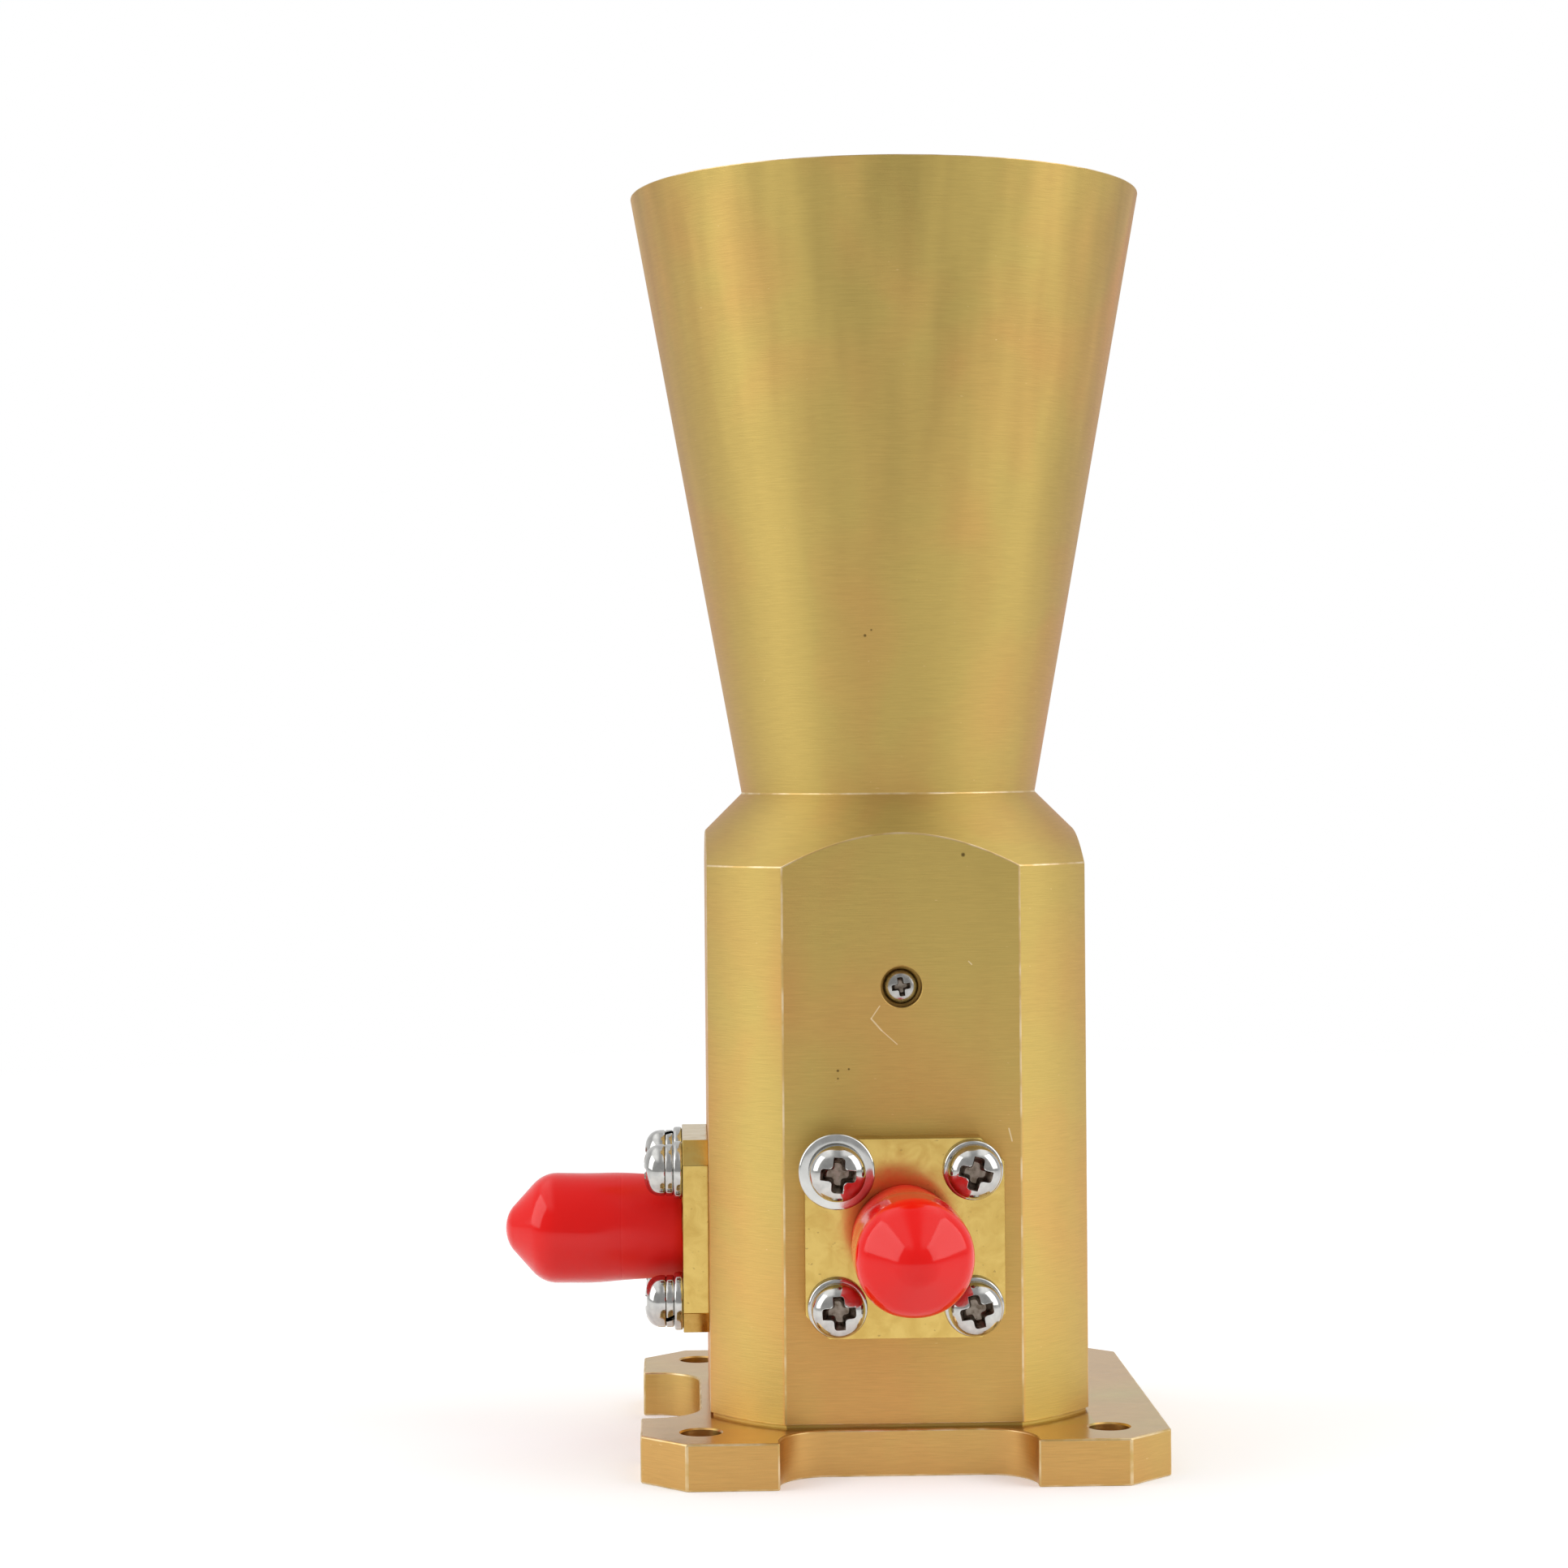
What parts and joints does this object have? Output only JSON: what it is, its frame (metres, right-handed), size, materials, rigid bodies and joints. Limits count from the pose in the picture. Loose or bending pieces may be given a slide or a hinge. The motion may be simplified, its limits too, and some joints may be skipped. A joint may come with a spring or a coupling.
{
  "type": "horn antenna",
  "caption": "Conical microwave horn on a round waveguide body with flats, fed by coaxial connectors at right angles, on a square notched base plate.",
  "frame": {"origin": "on the horn's axis at the underside of the base plate, which is the centre of its four mounting holes", "axes": "+Z along the horn's axis, out of the mouth; the front connector looks along -Y and the left connector along -X"},
  "size_m": [0.0429, 0.0429, 0.0833],
  "materials": {
    "chromated_aluminium": "satin yellow chromate conversion over turned and milled aluminium",
    "plated_brass": "bright gold plate",
    "plated_contact": "bright gold plate",
    "nickel": "bright nickel plate",
    "insulator": "waxy white PTFE",
    "red_vinyl": "glossy soft red vinyl"
  },
  "bodies": {
    "root": {"horn_body": "chromated_aluminium", "base_plate": "chromated_aluminium", "base_screws": "nickel", "tuning_screw": "nickel", "front_connector_shell": "plated_brass", "front_insulator": "insulator", "front_contact": "plated_contact", "left_connector_shell": "plated_brass", "left_insulator": "insulator", "left_contact": "plated_contact", "front_flange_screws": "nickel", "front_spring_washers": "nickel", "front_flat_washers": "nickel", "front_wide_washer": "nickel", "left_flange_screws": "nickel", "left_spring_washers": "nickel", "left_flat_washers": "nickel", "front_dust_cap": "red_vinyl", "left_dust_cap": "red_vinyl"}
  },
  "joints": []
}
